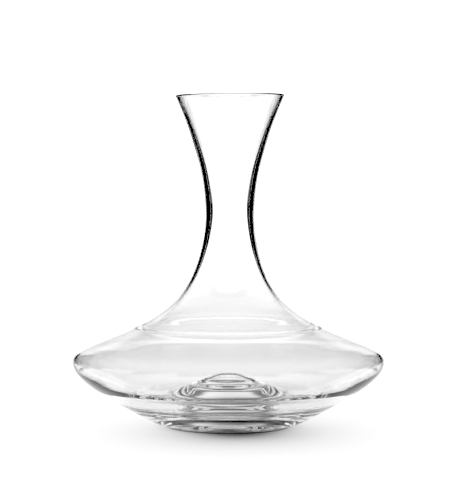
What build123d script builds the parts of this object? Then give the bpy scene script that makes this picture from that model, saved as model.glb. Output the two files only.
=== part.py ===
from build123d import *
import math
import os

# Hand-blown wine decanter in clear glass: trumpet neck, wide flat bowl and a
# thick base with a push-up (punt).  Millimetres, +Z up.  The origin is the
# centre of the circle on which the decanter stands, z = 0 is the table.
#
# The vessel is a body of revolution about Z.  The glass is divided into the
# three sections of the vessel (neck, bowl, base), each a closed solid; they
# meet face to face on the shoulder ring and on the base line.

# ---------------------------------------------------------------- dimensions
MAX_DIAMETER = 217.7         # widest line of the bowl (checked below)
HEIGHT = 232.0               # table to rim (checked below)
CONTACT_R_OUT = 41         # outer radius of the flat ring it stands on
CONTACT_R_IN = 37.5          # inner radius of that ring
SHOULDER_Z = 71.4            # shoulder ring: neck above, bowl below
PUNT_TOP_Z = 39.4            # inside height of the push-up
PUNT_UNDER_Z = 36.4          # height of the hollow under the push-up
BASE_OUT = (78.5, 18.0)      # a point on the base line, outside the glass
BASE_IN = (76.2, 21.8)       # and one inside it

# Outside of the wall, from the contact ring up to the rim: (radius, height).
OUTER = [
    (43.69, 0.75), (52.73, 3.65), (61.23, 7.87), (69.52, 12.52),
    (75.93, 16.41), (82.28, 20.41), (88.72, 24.24), (95.06, 28.24),
    (100.96, 32.87), (103.94, 35.82), (106.57, 39.09), (108.45, 42.83),
    (108.80, 46.98), (107.14, 50.79), (104.09, 53.65), (100.47, 55.76),
    (96.64, 57.49), (89.66, 60.24), (82.66, 62.92), (75.68, 65.67),
    (68.73, 68.50), (65.30, 70.03), (61.92, 71.62), (58.60, 73.33),
    (55.31, 75.18), (47.32, 80.31), (39.93, 86.26), (33.43, 93.18),
    (28.20, 101.09), (24.24, 109.72), (20.16, 123.10), (17.78, 136.89),
    (17.16, 150.87), (18.08, 164.83), (20.33, 178.64), (23.84, 192.19),
    (27.84, 205.61), (32.80, 218.70), (37.89, 231.00),
]

# Glass thickness in the blown wall, square to the outside, at OUTER[WALL_FROM]
# and each point above it.  It is thickest at the base and at the waist of the
# neck, and a slight ridge runs round the inside of the shoulder ring.
WALL_FROM = 6
WALL = [
    3, 2.6, 2.3, 2.15, 2, 1.9, 1.8, 1.75,
    1.7, 1.65, 1.6, 1.6, 1.6, 1.6, 1.6, 1.6,
    1.82, 1.6, 1.6, 1.6, 1.65, 1.72, 1.86, 2,
    2.22, 2.45, 2.85, 2.6, 2.52, 2.48, 2.28, 2.2,
    2,
]

# Inside of the thick floor, from the wall in to the foot of the push-up.
FLOOR_IN = [
    (80.50, 22.60), (77.40, 20.60), (74.50, 18.80), (71.50, 17.30),
    (68.00, 16.10), (62.00, 15.20), (55.00, 14.90), (47.00, 14.90),
    (41.50, 15.20),
]
# Inside of the push-up, from its foot in to its top.
PUNT_IN = [
    (38.60, 16.00), (36.00, 17.30), (32.00, 20.40), (28.00, 22.60),
    (24.00, 25.00), (21.00, 27.20), (18.50, 29.30), (16.00, 31.40),
    (13.00, 33.80), (10.00, 36.20), (7.80, 37.80), (5.50, 38.90),
    (3.00, 39.30),
]
# Hollow under the push-up, from the axis out to the contact ring.
PUNT_UNDER = [
    (2.73, 36.31), (4.61, 36.04), (6.26, 35.23), (8.17, 33.82),
    (11.13, 31.46), (14.10, 29.08), (16.57, 27.00), (19.15, 24.84),
    (22.35, 22.49), (26.50, 20.00), (30.00, 15.20), (32.80, 10.60),
    (35.00, 5.80), (36.70, 1.60),
]


def inward(points, walls):
    """Offset each point square to the line through its neighbours."""
    out = []
    last = len(points) - 1
    for i, ((r, z), t) in enumerate(zip(points, walls)):
        r0, z0 = points[max(i - 1, 0)]
        r1, z1 = points[min(i + 1, last)]
        dr, dz = r1 - r0, z1 - z0
        length = math.hypot(dr, dz)
        out.append((r - dz / length * t, z + dr / length * t))
    return out


INNER = inward(OUTER[WALL_FROM - 1:], [0] + WALL)[1:]


def pt(p):
    return Vector(p[0], 0, p[1])


# ------------------------------------------------------- full glass section
# Rim: the fire-polished edge is a half round from the outside to the inside.
rim_out, rim_in = OUTER[-1], INNER[-1]
rim_mid = ((rim_out[0] + rim_in[0]) / 2, (rim_out[1] + rim_in[1]) / 2)
up = Vector(rim_out[0] - OUTER[-2][0], 0, rim_out[1] - OUTER[-2][1]).normalized()
rim_top = pt(rim_mid) + up * (math.dist(rim_out, rim_in) / 2)

outer_wall = Spline(
    [Vector(CONTACT_R_OUT, 0, 0)] + [pt(p) for p in OUTER],
    tangents=[Vector(1, 0, 0), up],
)
rim = ThreePointArc(pt(rim_out), rim_top, pt(rim_in))
inner_wall = Spline(
    [pt(p) for p in reversed(INNER)] + [pt(p) for p in FLOOR_IN + PUNT_IN]
    + [Vector(0, 0, PUNT_TOP_Z)],
    tangents=[-up, Vector(-1, 0, 0)],
)
axis_line = Line(Vector(0, 0, PUNT_TOP_Z), Vector(0, 0, PUNT_UNDER_Z))
under = Spline(
    [Vector(0, 0, PUNT_UNDER_Z)] + [pt(p) for p in PUNT_UNDER]
    + [Vector(CONTACT_R_IN, 0, 0)],
    tangents=[Vector(1, 0, 0), Vector(1, 0, -1.2).normalized()],
)
ring = Line(Vector(CONTACT_R_IN, 0, 0), Vector(CONTACT_R_OUT, 0, 0))
section = make_face([outer_wall, rim, inner_wall, axis_line, under, ring])
glass = revolve(section, Axis.Z, 360)

# ---------------------------------------------------- the three glass sections
# Shoulder ring: a level joint line all round the wall.
above = Pos(0, 0, SHOULDER_Z) * Cylinder(
    150, 200, align=(Align.CENTER, Align.CENTER, Align.MIN))
# Base line: a cone square to the wall, so the base is the whole thick disc.
k = (BASE_OUT[0] - BASE_IN[0]) / (BASE_OUT[1] - BASE_IN[1])
r_at = lambda z: BASE_OUT[0] + (z - BASE_OUT[1]) * k
below = revolve(make_face(Polyline(
    (0, 0, -10), (r_at(-10), 0, -10), (r_at(60), 0, 60), (0, 0, 60),
    close=True)), Axis.Z, 360)

neck = glass & above
base = glass & below
bowl = glass - above - below

# ------------------------------------------------------------------- output
os.makedirs("parts", exist_ok=True)
for name, shape in (("neck", neck), ("bowl", bowl), ("base", base)):
    solids = shape.solids()
    assert len(solids) == 1, (name, len(solids))
    solid = solids[0]
    solid.label = name
    export_step(solid, f"parts/{name}.step")
    bb = solid.bounding_box()
    print(f"{name}: z {bb.min.Z:.2f} to {bb.max.Z:.2f}, x {bb.min.X:.2f} to {bb.max.X:.2f}")

bb = glass.bounding_box()
print(f"overall {bb.max.X - bb.min.X:.2f} x {bb.max.Y - bb.min.Y:.2f} x {bb.max.Z - bb.min.Z:.2f}")
assert abs(bb.max.Z - HEIGHT) < 0.6 and abs(bb.max.X * 2 - MAX_DIAMETER) < 0.6
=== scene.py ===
# Wine decanter in clear glass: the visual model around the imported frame.
import math

import bpy
import numpy as np
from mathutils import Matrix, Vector


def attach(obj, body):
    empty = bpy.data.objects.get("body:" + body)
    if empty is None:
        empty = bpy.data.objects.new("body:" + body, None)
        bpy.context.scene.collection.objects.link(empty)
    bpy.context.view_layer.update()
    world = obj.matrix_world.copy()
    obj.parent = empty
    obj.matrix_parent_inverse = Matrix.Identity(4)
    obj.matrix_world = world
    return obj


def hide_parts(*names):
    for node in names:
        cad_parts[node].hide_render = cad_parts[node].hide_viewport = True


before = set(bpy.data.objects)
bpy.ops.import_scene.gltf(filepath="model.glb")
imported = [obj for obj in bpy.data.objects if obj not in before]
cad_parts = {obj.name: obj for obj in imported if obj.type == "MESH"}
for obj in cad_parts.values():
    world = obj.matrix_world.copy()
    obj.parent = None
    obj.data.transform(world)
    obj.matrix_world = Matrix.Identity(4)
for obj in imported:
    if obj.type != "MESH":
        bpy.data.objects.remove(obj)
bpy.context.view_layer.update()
scene = bpy.context.scene

# --------------------------------------------------------------- glass profile
# Millimetres, (radius, height), the same tables as the CAD model.
OUTER = [
    (43.69, 0.75), (52.73, 3.65), (61.23, 7.87), (69.52, 12.52),
    (75.93, 16.41), (82.28, 20.41), (88.72, 24.24), (95.06, 28.24),
    (100.96, 32.87), (103.94, 35.82), (106.57, 39.09), (108.45, 42.83),
    (108.80, 46.98), (107.14, 50.79), (104.09, 53.65), (100.47, 55.76),
    (96.64, 57.49), (89.66, 60.24), (82.66, 62.92), (75.68, 65.67),
    (68.73, 68.50), (65.30, 70.03), (61.92, 71.62), (58.60, 73.33),
    (55.31, 75.18), (47.32, 80.31),
    (39.93, 86.26), (33.43, 93.18), (28.20, 101.09), (24.24, 109.72),
    (20.16, 123.10), (17.78, 136.89), (17.16, 150.87), (18.08, 164.83),
    (20.33, 178.64), (23.84, 192.19), (27.84, 205.61), (32.80, 218.70),
    (37.89, 231.00),
]
WALL_FROM = 6
WALL = [
    3, 2.6, 2.3, 2.15, 2, 1.9, 1.8, 1.75,
    1.7, 1.65, 1.6, 1.6, 1.6, 1.6, 1.6, 1.6,
    1.82, 1.6, 1.6, 1.6, 1.65, 1.72, 1.86, 2,
    2.22, 2.45, 2.85, 2.6, 2.52, 2.48, 2.28, 2.2,
    2,
]
FLOOR_IN = [(80.50, 22.60), (77.40, 20.60), (74.50, 18.80), (71.50, 17.30), (68.00, 16.10), (62.00, 15.20), (55.00, 14.90), (47.00, 14.90), (41.50, 15.20)]
PUNT_IN = [(38.60, 16.00), (36.00, 17.30), (32.00, 20.40), (28.00, 22.60), (24.00, 25.00), (21.00, 27.20), (18.50, 29.30), (16.00, 31.40), (13.00, 33.80), (10.00, 36.20), (7.80, 37.80), (5.50, 38.90), (3.00, 39.30)]
PUNT_TOP_Z = 39.40
PUNT_UNDER = [(2.73, 36.31), (4.61, 36.04), (6.26, 35.23), (8.17, 33.82), (11.13, 31.46), (14.10, 29.08), (16.57, 27.00), (19.15, 24.84), (22.35, 22.49), (26.50, 20.00), (30.00, 15.20), (32.80, 10.60), (35.00, 5.80), (36.70, 1.60)]
PUNT_UNDER_Z = 36.40
RING_OUT, RING_IN = 41.0, 37.5
SHOULDER_Z = 71.4
LINE_OUT, LINE_IN = (78.5, 18.0), (76.2, 21.8)
WAVE, LEDGE = 0.10, 0.8       # unevenness inside the wall, ledge on the push-up
LEAN, TILT = 1.1, 0.009       # neck off centre, rim out of level


def inward(points, walls):
    out, last = [], len(points) - 1
    for i, ((r, z), t) in enumerate(zip(points, walls)):
        r0, z0 = points[max(i - 1, 0)]
        r1, z1 = points[min(i + 1, last)]
        dr, dz = r1 - r0, z1 - z0
        n = math.hypot(dr, dz)
        out.append((r - dz / n * t, z + dr / n * t))
    return out


def spline(points, start=None, end=None):
    """Cubic spline through points on chord length, with unit end tangents. Returns f(u) with u from 0 to 1 along the chord length."""
    p = np.array(points, float)
    h = np.hypot(*np.diff(p, axis=0).T)
    t = np.concatenate([[0], np.cumsum(h)])
    n = len(p)
    a = np.zeros((n, n))
    b = np.zeros((n, 2))
    for i in range(1, n - 1):
        a[i, i - 1] = h[i]
        a[i, i] = 2 * (h[i - 1] + h[i])
        a[i, i + 1] = h[i - 1]
        b[i] = 3 * (h[i] / h[i - 1] * (p[i] - p[i - 1]) + h[i - 1] / h[i] * (p[i + 1] - p[i]))
    for row, tangent, i, j in ((0, start, 0, 1), (n - 1, end, n - 2, n - 1)):
        if tangent is not None:
            a[row, row] = 1
            b[row] = np.array(tangent, float) / np.hypot(*tangent)
        else:
            hh = h[0] if row == 0 else h[-1]
            a[row, row] = 2
            a[row, 1 if row == 0 else n - 2] = 1
            b[row] = 3 * (p[j] - p[i]) / hh
    m = np.linalg.solve(a, b)

    def f(u):
        x = np.clip(np.asarray(u, float), 0, 1) * t[-1]
        k = np.clip(np.searchsorted(t, x, side="right") - 1, 0, n - 2)
        s = (x - t[k]) / h[k]
        s = s[:, None]
        hk = h[k][:, None]
        return (
            (2 * s**3 - 3 * s**2 + 1) * p[k]
            + (s**3 - 2 * s**2 + s) * hk * m[k]
            + (3 * s**2 - 2 * s**3) * p[k + 1]
            + (s**3 - s**2) * hk * m[k + 1]
        )

    f.length = t[-1]
    return f


INNER = inward(OUTER[WALL_FROM - 1:], [0] + WALL)[1:]
rim_out, rim_in = np.array(OUTER[-1]), np.array(INNER[-1])
up = rim_out - np.array(OUTER[-2])
up /= np.hypot(*up)
f_out = spline([(RING_OUT, 0.0)] + OUTER, start=(1, 0), end=up)
f_in = spline(INNER[::-1] + FLOOR_IN + PUNT_IN + [(0, PUNT_TOP_Z)], start=-up, end=(-1, 0))
f_under = spline([(0, PUNT_UNDER_Z)] + PUNT_UNDER + [(RING_IN, 0.0)], start=(1, 0), end=(1, -1.2))


def sample(f, step):
    n = max(int(round(f.length / step)), 4)
    return f(np.linspace(0, 1, n + 1))


STEP = 0.95
NTHETA = 240
outer = sample(f_out, STEP)
inner = sample(f_in, STEP)
under = sample(f_under, STEP * 0.8)
c = (rim_out + rim_in) / 2
rad = np.hypot(*(rim_out - rim_in)) / 2
side = (rim_out - rim_in) / (2 * rad)
ang = np.linspace(0, math.pi, 17)[1:-1]
rim = c + rad * (np.cos(ang)[:, None] * side + np.sin(ang)[:, None] * up)
ring = np.linspace(RING_IN, RING_OUT, 8)[1:-1]
ring = np.stack([ring, 0 * ring], 1)


def crossing(points, g):
    """Index and point where g changes sign along points."""
    v = np.array([g(p) for p in points])
    i = int(np.nonzero(np.sign(v[:-1]) != np.sign(v[1:]))[0][0])
    s = v[i] / (v[i] - v[i + 1])
    return i, points[i] + s * (points[i + 1] - points[i])


def with_point(points, g, lo=None):
    """points with a vertex put exactly where g changes sign; returns (points, index)."""
    i, q = crossing(points, g)
    pts = points.copy()
    k = i if np.hypot(*(q - pts[i])) < np.hypot(*(q - pts[i + 1])) else i + 1
    pts[k] = q
    return pts, k


def line_side(p):
    (x0, y0), (x1, y1) = LINE_OUT, LINE_IN
    return (x1 - x0) * (p[1] - y0) - (y1 - y0) * (p[0] - x0)


outer, o_base = with_point(outer, line_side)
outer, o_ring = with_point(outer, lambda p: p[1] - SHOULDER_Z)
inner, i_ring = with_point(inner, lambda p: p[1] - SHOULDER_Z)
keep = len(inner)
flip = inner[::-1]
vals = np.array([line_side(p) if p[0] > 45 else 1e9 for p in inner])
k0 = [k for k in range(len(inner) - 1) if vals[k] < 1e8 and vals[k + 1] < 1e8 and np.sign(vals[k]) != np.sign(vals[k + 1])][0]
s = vals[k0] / (vals[k0] - vals[k0 + 1])
inner[k0] = inner[k0] + s * (inner[k0 + 1] - inner[k0])
i_base = k0

# One closed line round the glass: outside up, rim, inside down to the top of
# the push-up, then under it back to the contact ring.
loop = np.concatenate([outer, rim, inner, under, ring])
n_o, n_r, n_i, n_u, n_g = len(outer), len(rim), len(inner), len(under), len(ring)
top_in = n_o + n_r + n_i - 1          # axis point on top of the push-up
top_un = top_in + 1                   # axis point under it
M = len(loop)

theta = np.arange(NTHETA) / NTHETA * 2 * math.pi
R = np.repeat(loop[:, 0:1], NTHETA, 1)
Z = np.repeat(loop[:, 1:2], NTHETA, 1)


def smooth(x, lo, hi):
    t = np.clip((x - lo) / (hi - lo), 0, 1)
    return t * t * (3 - 2 * t)


# Small irregularities of hand work, all well under the wall's thickness: the
# inside of the wall is slightly uneven round the vessel, the push-up has a
# faint ledge half way up, and the neck stands about a millimetre off centre.
T = np.repeat(theta[None, :], M, 0)
inside = np.zeros(M, bool)
inside[n_o + n_r:top_in + 1] = True
wave = (0.50 * np.sin(2 * T + 0.6 + Z / 41.0) + 0.30 * np.sin(3 * T - 1.1 - Z / 27.0)
        + 0.20 * np.sin(5 * T + 2.3 + Z / 16.0))
uneven = WAVE * wave * smooth(Z, 40, 62) * (1 - smooth(Z, 196, 224)) * inside[:, None]
ledge = LEDGE * np.exp(-((Z - 28.3) / 1.5) ** 2) * (inside[:, None] & (R < 30) & (R > 12))
ledge = ledge * (0.75 - 0.25 * np.cos(T - 0.4))
R = R + uneven + ledge
lean = LEAN * smooth(Z, 85, 150)
grid = np.stack([R * np.cos(theta) + lean, R * np.sin(theta), Z], 2) / 1000.0
grid[:, :, 2] += TILT * grid[:, :, 0] * smooth(Z, 190, 228)


def grid_normals(g):
    """Normals from the grid's own differences, one side at a time where the line ends on the axis."""
    n = np.zeros_like(g)
    runs = [(top_un, M, 0, top_in + 1)]
    order = list(range(top_un, M)) + list(range(0, top_in + 1))
    gg = g[order]
    du = np.empty_like(gg)
    du[1:-1] = gg[2:] - gg[:-2]
    du[0] = gg[1] - gg[0]
    du[-1] = gg[-1] - gg[-2]
    dv = np.roll(gg, -1, 1) - np.roll(gg, 1, 1)
    nn = np.cross(dv, du)
    ln = np.linalg.norm(nn, axis=2, keepdims=True)
    nn = nn / np.maximum(ln, 1e-15)
    nn[0] = (0, 0, -1)
    nn[-1] = (0, 0, 1)
    n[order] = nn
    return n


normals = grid_normals(grid)
# make sure they point out of the glass
k = n_o // 2
if np.dot(normals[k, 0], np.array([1, 0, 0])) < 0 and loop[k, 0] > 0:
    normals = -normals
    normals[top_un] = (0, 0, -1)
    normals[top_in] = (0, 0, 1)


def lathe(name, runs):
    """A closed mesh from runs of the loop; each run is a list of loop indices, and consecutive runs are joined by seam faces (the last to the first)."""
    verts, norm, faces, seam = [], [], [], []
    index = {}

    def vid(k):
        if k not in index:
            base = len(verts)
            if loop[k, 0] < 1e-9:
                verts.append(grid[k, 0])
                norm.append(normals[k, 0])
                index[k] = [base] * NTHETA
            else:
                verts.extend(grid[k])
                norm.extend(normals[k])
                index[k] = list(range(base, base + NTHETA))
        return index[k]

    def strip(a, b, is_seam):
        ia, ib = vid(a), vid(b)
        for j in range(NTHETA):
            j2 = (j + 1) % NTHETA
            q = [ia[j], ia[j2], ib[j2], ib[j]]
            q2 = []
            for x in q:
                if x not in q2:
                    q2.append(x)
            if len(q2) >= 3:
                faces.append(q2)
                seam.append(is_seam)

    for r_i, run in enumerate(runs):
        for a, b in zip(run[:-1], run[1:]):
            strip(a, b, False)
        nxt = runs[(r_i + 1) % len(runs)]
        if loop[run[-1], 0] > 1e-9 or loop[nxt[0], 0] > 1e-9:
            strip(run[-1], nxt[0], True)
    me = bpy.data.meshes.new(name)
    me.from_pydata([tuple(v) for v in verts], [], faces)
    me.polygons.foreach_set("use_smooth", [True] * len(faces))
    me.polygons.foreach_set("material_index", [1 if s else 0 for s in seam])
    me.update()
    me.validate()
    me.normals_split_custom_set_from_vertices([tuple(v) for v in norm])
    ob = bpy.data.objects.new(name, me)
    scene.collection.objects.link(ob)
    return ob


out0 = 0
in0 = n_o + n_r
neck_run = list(range(o_ring, n_o)) + list(range(n_o, n_o + n_r)) + list(range(in0, in0 + i_ring + 1))
bowl_runs = [list(range(o_base, o_ring + 1)), list(range(in0 + i_ring, in0 + i_base + 1))]
base_runs = [list(range(in0 + i_base, top_in + 1)), list(range(top_un, M)) + list(range(0, o_base + 1))]
neck = lathe("glass_neck", [neck_run])
bowl = lathe("glass_bowl", bowl_runs)
base = lathe("glass_base", base_runs)

# ------------------------------------------------------------------ materials


def nodes_of(block):
    block.use_nodes = True
    nt = block.node_tree
    nt.nodes.clear()
    return nt


glass = bpy.data.materials.new("clear_glass")
nt = nodes_of(glass)
out = nt.nodes.new("ShaderNodeOutputMaterial")
bsdf = nt.nodes.new("ShaderNodeBsdfPrincipled")
bsdf.inputs["Base Color"].default_value = (1.0, 1.0, 1.0, 1)
bsdf.inputs["Roughness"].default_value = 0.0
bsdf.inputs["IOR"].default_value = 1.52
bsdf.inputs["Transmission Weight"].default_value = 1.0
# faint rings and streaks in the surface, left by blowing and turning
pos = nt.nodes.new("ShaderNodeTexCoord")
scl = nt.nodes.new("ShaderNodeVectorMath")
scl.operation = "MULTIPLY"
scl.inputs[1].default_value = (9.0, 9.0, 150.0)
nt.links.new(pos.outputs["Object"], scl.inputs[0])
streaks = nt.nodes.new("ShaderNodeTexNoise")
streaks.inputs["Scale"].default_value = 1.0
streaks.inputs["Detail"].default_value = 2.0
streaks.inputs["Roughness"].default_value = 0.45
nt.links.new(scl.outputs["Vector"], streaks.inputs["Vector"])
bump = nt.nodes.new("ShaderNodeBump")
bump.inputs["Strength"].default_value = 0.1
bump.inputs["Distance"].default_value = 0.0004
nt.links.new(streaks.outputs["Fac"], bump.inputs["Height"])
nt.links.new(bump.outputs["Normal"], bsdf.inputs["Normal"])
nt.links.new(bsdf.outputs["BSDF"], out.inputs["Surface"])

seam = bpy.data.materials.new("glass_seam")
nt = nodes_of(seam)
out = nt.nodes.new("ShaderNodeOutputMaterial")
tr = nt.nodes.new("ShaderNodeBsdfTransparent")
nt.links.new(tr.outputs["BSDF"], out.inputs["Surface"])

for ob, node in ((neck, "neck"), (bowl, "bowl"), (base, "base")):
    ob.data.materials.append(glass)
    ob.data.materials.append(seam)
    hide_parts(node)
    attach(ob, "root")

# ---------------------------------------------------------------------- floor
import bmesh

bm = bmesh.new()
N, RF = 96, 1.1
rings = [0.0, 0.05, 0.1, 0.16, 0.24, 0.36, 0.55, 0.8, RF]
prev = None
cv = bm.verts.new((0, 0, -0.0001))
for r in rings[1:]:
    vs = [bm.verts.new((r * math.cos(2 * math.pi * i / N), r * math.sin(2 * math.pi * i / N), -0.0001)) for i in range(N)]
    for i in range(N):
        if prev is None:
            bm.faces.new((cv, vs[i], vs[(i + 1) % N]))
        else:
            bm.faces.new((prev[i], vs[i], vs[(i + 1) % N], prev[(i + 1) % N]))
    prev = vs
fm = bpy.data.meshes.new("floor")
bm.to_mesh(fm)
bm.free()
floor = bpy.data.objects.new("floor", fm)
scene.collection.objects.link(floor)
FLOOR_ALBEDO = 0.08
# painted contact shadow: the table's glow by distance from the axis in metres, full a little
# way out, falling off to a painted shadow under the glass
PAINTED_FLOOR_SHADOW = [(0.000, 0.14), (0.011, 0.15), (0.022, 0.24), (0.033, 0.41), (0.044, 0.57), (0.055, 0.69),
               (0.066, 0.77), (0.080, 0.85), (0.100, 0.92), (0.130, 0.98), (0.190, 1.02)]
PAINTED_SHADOW_SHIFT = (0.006, -0.030)   # the painted shadow is drawn forward and slightly to one side
PAINTED_SHADOW_STRETCH = 1.3                # and the painted shadow is narrower from side to side than front to back
# painted light and shade under the glass itself: a painted pool of light under the push-up,
# and painted shade under the contact ring
PAINTED_FOOT_SHADE_AND_LIGHT = [(0.0, 1.6), (0.022, 1.5), (0.031, 0.25), (0.040, 0.12), (0.044, 0.80), (0.054, 1.0)]
FOOT_SCALE = 2.5
# the table glows; its glow strength carries the painted contact shadow and the painted light and shade under the glass
fmat = bpy.data.materials.new("pale_table_painted_shade_and_light")
nt = nodes_of(fmat)
out = nt.nodes.new("ShaderNodeOutputMaterial")
dif = nt.nodes.new("ShaderNodeBsdfDiffuse")
dif.inputs["Color"].default_value = (FLOOR_ALBEDO, FLOOR_ALBEDO, FLOOR_ALBEDO, 1)
em = nt.nodes.new("ShaderNodeEmission")
em.inputs["Color"].default_value = (1, 1, 1, 1)
add = nt.nodes.new("ShaderNodeAddShader")
geo = nt.nodes.new("ShaderNodeTexCoord")
off = nt.nodes.new("ShaderNodeVectorMath")
off.operation = "SUBTRACT"
off.inputs[1].default_value = (PAINTED_SHADOW_SHIFT[0], PAINTED_SHADOW_SHIFT[1], 0)
nt.links.new(geo.outputs["Object"], off.inputs[0])
ln = nt.nodes.new("ShaderNodeVectorMath")
ln.operation = "LENGTH"
stretch = nt.nodes.new("ShaderNodeVectorMath")
stretch.operation = "MULTIPLY"
stretch.inputs[1].default_value = (PAINTED_SHADOW_STRETCH, 1.0, 1.0)
nt.links.new(off.outputs["Vector"], stretch.inputs[0])
nt.links.new(stretch.outputs["Vector"], ln.inputs[0])
mr = nt.nodes.new("ShaderNodeMapRange")
mr.inputs["From Max"].default_value = PAINTED_FLOOR_SHADOW[-1][0]
nt.links.new(ln.outputs["Value"], mr.inputs["Value"])
fc = nt.nodes.new("ShaderNodeFloatCurve")
cur = fc.mapping.curves[0]
while len(cur.points) < len(PAINTED_FLOOR_SHADOW):
    cur.points.new(0.5, 0.5)
for p, (r, v) in zip(cur.points, PAINTED_FLOOR_SHADOW):
    p.location = (r / PAINTED_FLOOR_SHADOW[-1][0], v)
    p.handle_type = "AUTO_CLAMPED"
fc.mapping.update()
nt.links.new(mr.outputs["Result"], fc.inputs["Value"])
half = nt.nodes.new("ShaderNodeMath")
half.operation = "MULTIPLY"
half.inputs[1].default_value = FOOT_SCALE
foot_len = nt.nodes.new("ShaderNodeVectorMath")
foot_len.operation = "LENGTH"
nt.links.new(geo.outputs["Object"], foot_len.inputs[0])
# painted pool of light under the push-up and painted shade under the contact ring, by distance from the axis
foot_mr = nt.nodes.new("ShaderNodeMapRange")
foot_mr.inputs["From Max"].default_value = PAINTED_FOOT_SHADE_AND_LIGHT[-1][0]
nt.links.new(foot_len.outputs["Value"], foot_mr.inputs["Value"])
foot_fc = nt.nodes.new("ShaderNodeFloatCurve")
cur = foot_fc.mapping.curves[0]
while len(cur.points) < len(PAINTED_FOOT_SHADE_AND_LIGHT):
    cur.points.new(0.5, 0.5)
for p, (r, v) in zip(cur.points, PAINTED_FOOT_SHADE_AND_LIGHT):
    p.location = (r / PAINTED_FOOT_SHADE_AND_LIGHT[-1][0], v / FOOT_SCALE)
    p.handle_type = "AUTO_CLAMPED"
foot_fc.mapping.update()
nt.links.new(foot_mr.outputs["Result"], foot_fc.inputs["Value"])
nt.links.new(foot_fc.outputs["Value"], half.inputs[0])
both = nt.nodes.new("ShaderNodeMath")
both.operation = "MULTIPLY"
nt.links.new(fc.outputs["Value"], both.inputs[0])
nt.links.new(half.outputs["Value"], both.inputs[1])
# painted shadow times painted foot light and shade sets the table's glow
nt.links.new(both.outputs["Value"], em.inputs["Strength"])
nt.links.new(dif.outputs["BSDF"], add.inputs[0])
nt.links.new(em.outputs["Emission"], add.inputs[1])
nt.links.new(add.outputs["Shader"], out.inputs["Surface"])
fm.materials.append(fmat)

# Black side cards: they stand on the table beside each backdrop's edge. The
# camera doesn't see them; the glass does, as in bright-field studio lighting.
CARD_R, CARD_H = 0.63, 0.34
# (from, to) in degrees round from the backdrop behind the object, on each side
CARDS = [(30.0, 65.0), (115.0, 124.0), (146.0, 155.0)]
# the dark room beyond them, above the far edge of the table
ROOM = [(15.0, 74.0), (106.0, 124.0), (146.0, 164.0)]
cmat = bpy.data.materials.new("black_card")
nt = nodes_of(cmat)
out = nt.nodes.new("ShaderNodeOutputMaterial")
cd = nt.nodes.new("ShaderNodeBsdfDiffuse")
cd.inputs["Color"].default_value = (0.003, 0.003, 0.003, 1)
nt.links.new(cd.outputs["BSDF"], out.inputs["Surface"])
bm = bmesh.new()
for sgn in (-1, 1):
    for c0, c1 in CARDS:
        col = []
        for i in range(17):
            t = math.radians(c0 + (c1 - c0) * i / 16)
            x, y = sgn * CARD_R * math.sin(t), CARD_R * math.cos(t)
            col.append((bm.verts.new((x, y, 0.0)), bm.verts.new((x, y, CARD_H))))
        for a, b in zip(col[:-1], col[1:]):
            bm.faces.new((a[0], b[0], b[1], a[1]))
cm = bpy.data.meshes.new("side_cards")
bm.to_mesh(cm)
bm.free()
cm.materials.append(cmat)
cards_ob = bpy.data.objects.new("side_cards", cm)
scene.collection.objects.link(cards_ob)
cards_ob.visible_camera = False
cards_ob.visible_diffuse = False
cards_ob.visible_shadow = False

# Grey mats lying on the table between the cards and the glass, so that the neck
# has an edge from higher up too. Like the cards, only the glass sees them.
MATS = [(58.0, 68.0, 0.20), (112.0, 122.0, 0.28), (148.0, 158.0, 0.28)]   # degrees, inner radius
MAT_OUT = 0.62
mmat = bpy.data.materials.new("grey_mat")
nt = nodes_of(mmat)
out = nt.nodes.new("ShaderNodeOutputMaterial")
md = nt.nodes.new("ShaderNodeBsdfDiffuse")
md.inputs["Color"].default_value = (0.22, 0.22, 0.22, 1)
nt.links.new(md.outputs["BSDF"], out.inputs["Surface"])
bm = bmesh.new()
for sgn in (-1, 1):
    for c0, c1, r_in in MATS:
        col = []
        for i in range(13):
            t = math.radians(c0 + (c1 - c0) * i / 12)
            col.append([bm.verts.new((sgn * r * math.sin(t), r * math.cos(t), 0.001)) for r in (r_in, MAT_OUT)])
        for a, b in zip(col[:-1], col[1:]):
            bm.faces.new((a[0], b[0], b[1], a[1]))
mm = bpy.data.meshes.new("side_mats")
bm.to_mesh(mm)
bm.free()
mm.materials.append(mmat)
mats_ob = bpy.data.objects.new("side_mats", mm)
scene.collection.objects.link(mats_ob)
mats_ob.visible_camera = False
mats_ob.visible_diffuse = False
mats_ob.visible_shadow = False

# ---------------------------------------------------------------------- world
world = bpy.data.worlds.new("studio")
scene.world = world
nt = nodes_of(world)
wo = nt.nodes.new("ShaderNodeOutputWorld")
bg = nt.nodes.new("ShaderNodeBackground")
tc = nt.nodes.new("ShaderNodeTexCoord")
sep = nt.nodes.new("ShaderNodeSeparateXYZ")
nt.links.new(tc.outputs["Generated"], sep.inputs[0])


def math_node(op, *vals):
    n = nt.nodes.new("ShaderNodeMath")
    n.operation = op
    for i, v in enumerate(vals):
        if isinstance(v, (int, float)):
            n.inputs[i].default_value = v
        else:
            nt.links.new(v, n.inputs[i])
    return n.outputs[0]


def ramp(value, lo, hi, a, b):
    n = nt.nodes.new("ShaderNodeMapRange")
    n.interpolation_type = "SMOOTHSTEP"
    n.inputs["From Min"].default_value = lo
    n.inputs["From Max"].default_value = hi
    for k, v in (("To Min", a), ("To Max", b)):
        if isinstance(v, (int, float)):
            n.inputs[k].default_value = v
        else:
            nt.links.new(v, n.inputs[k])
    nt.links.new(value, n.inputs["Value"])
    return n.outputs["Result"]


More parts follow.
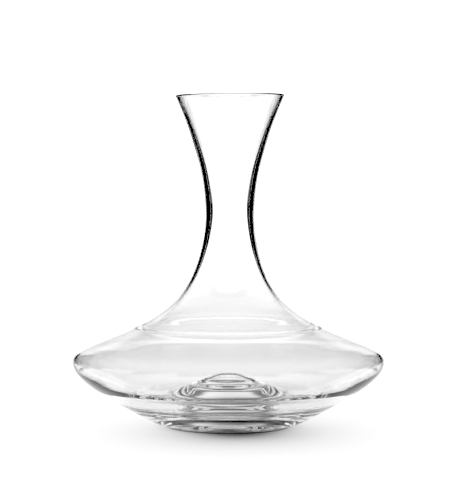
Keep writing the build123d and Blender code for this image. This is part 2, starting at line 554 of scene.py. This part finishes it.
FAR = 1.06             # table and sweep below the horizon
BACK = 1.40            # white backdrop
DARK = 0.004           # black cards at the sides
HIGH = 0.72            # upper part of the backdrop
CEIL_LOW, CEIL_TOP = 0.15, 0.15
elev = math_node("MULTIPLY", math_node("ARCSINE", sep.outputs["Z"]), 180 / math.pi)
az = math_node("MULTIPLY", math_node("ABSOLUTE", math_node("ARCTAN2", sep.outputs["X"], sep.outputs["Y"])), 1 / math.pi)
back = ramp(elev, -5.0, 1.0, FAR, BACK)
high = ramp(elev, 5.5, 10.0, back, HIGH)
edge = nt.nodes.new("ShaderNodeValToRGB")          # 1 on a backdrop, 0 on a black card
edge.color_ramp.interpolation = "LINEAR"
stops = [(0.0, 1.0)]
for c0, c1 in ROOM:
    stops += [(c0 - 0.6, 1.0), (c0, 0.0), (c1, 0.0), (c1 + 0.6, 1.0)]
els = edge.color_ramp.elements
while len(els) < len(stops):
    els.new(1.0)
for e, (p, v) in zip(els, stops):
    e.position = p / 180
    e.color = (v, v, v, 1)
# higher up the backdrop reaches further round
wider = math_node("SUBTRACT", az, ramp(elev, 9.0, 12.0, 0.0, 8 / 180))
nt.links.new(wider, edge.inputs["Fac"])
cards = ramp(edge.outputs["Color"], 0.0, 1.0, DARK, high)
upper = ramp(elev, 19.0, 27.0, cards, CEIL_LOW)
zen = ramp(elev, 48.0, 62.0, upper, CEIL_TOP)
lower = ramp(elev, -12.0, -10.5, FAR, zen)
nt.links.new(lower, bg.inputs["Strength"])
bg.inputs["Color"].default_value = (1, 1, 1, 1)
nt.links.new(bg.outputs["Background"], wo.inputs["Surface"])

# --------------------------------------------------------------------- camera
PX = 0.00070                       # metres per image pixel at the axis
cam_data = bpy.data.cameras.new("camera")
cam = bpy.data.objects.new("camera", cam_data)
scene.collection.objects.link(cam)
scene.camera = cam
cam_data.sensor_fit = "AUTO"
cam_data.sensor_width = 36.0
DIST = 2080 * PX
cam_data.lens = 36.0 * 2080 / 500
cam_z = 265 * PX
aim_z = 176.85 * PX
cam_x = -2.9 * PX
cam.location = (cam_x, -DIST, cam_z)
direction = Vector((cam_x, 0, aim_z)) - cam.location
cam.rotation_mode = "QUATERNION"
cam.rotation_quaternion = direction.to_track_quat("-Z", "Y")
cam_data.clip_start, cam_data.clip_end = 0.01, 100.0

# ----------------------------------------------------------------- colour, ray depth
BLACK = 0.10            # the contrast of a printed product picture
scene.view_settings.view_transform = "Standard"
scene.view_settings.look = "None"
scene.view_settings.use_curve_mapping = True
scene.view_settings.curve_mapping.black_level = (BLACK, BLACK, BLACK)
scene.view_settings.curve_mapping.update()
scene.cycles.max_bounces = 40
scene.cycles.transmission_bounces = 40
scene.cycles.glossy_bounces = 24
scene.cycles.diffuse_bounces = 3
scene.cycles.transparent_max_bounces = 64
scene.cycles.caustics_refractive = True
scene.cycles.caustics_reflective = True
scene.cycles.blur_glossy = 0.0
scene.cycles.sample_clamp_indirect = 8.0
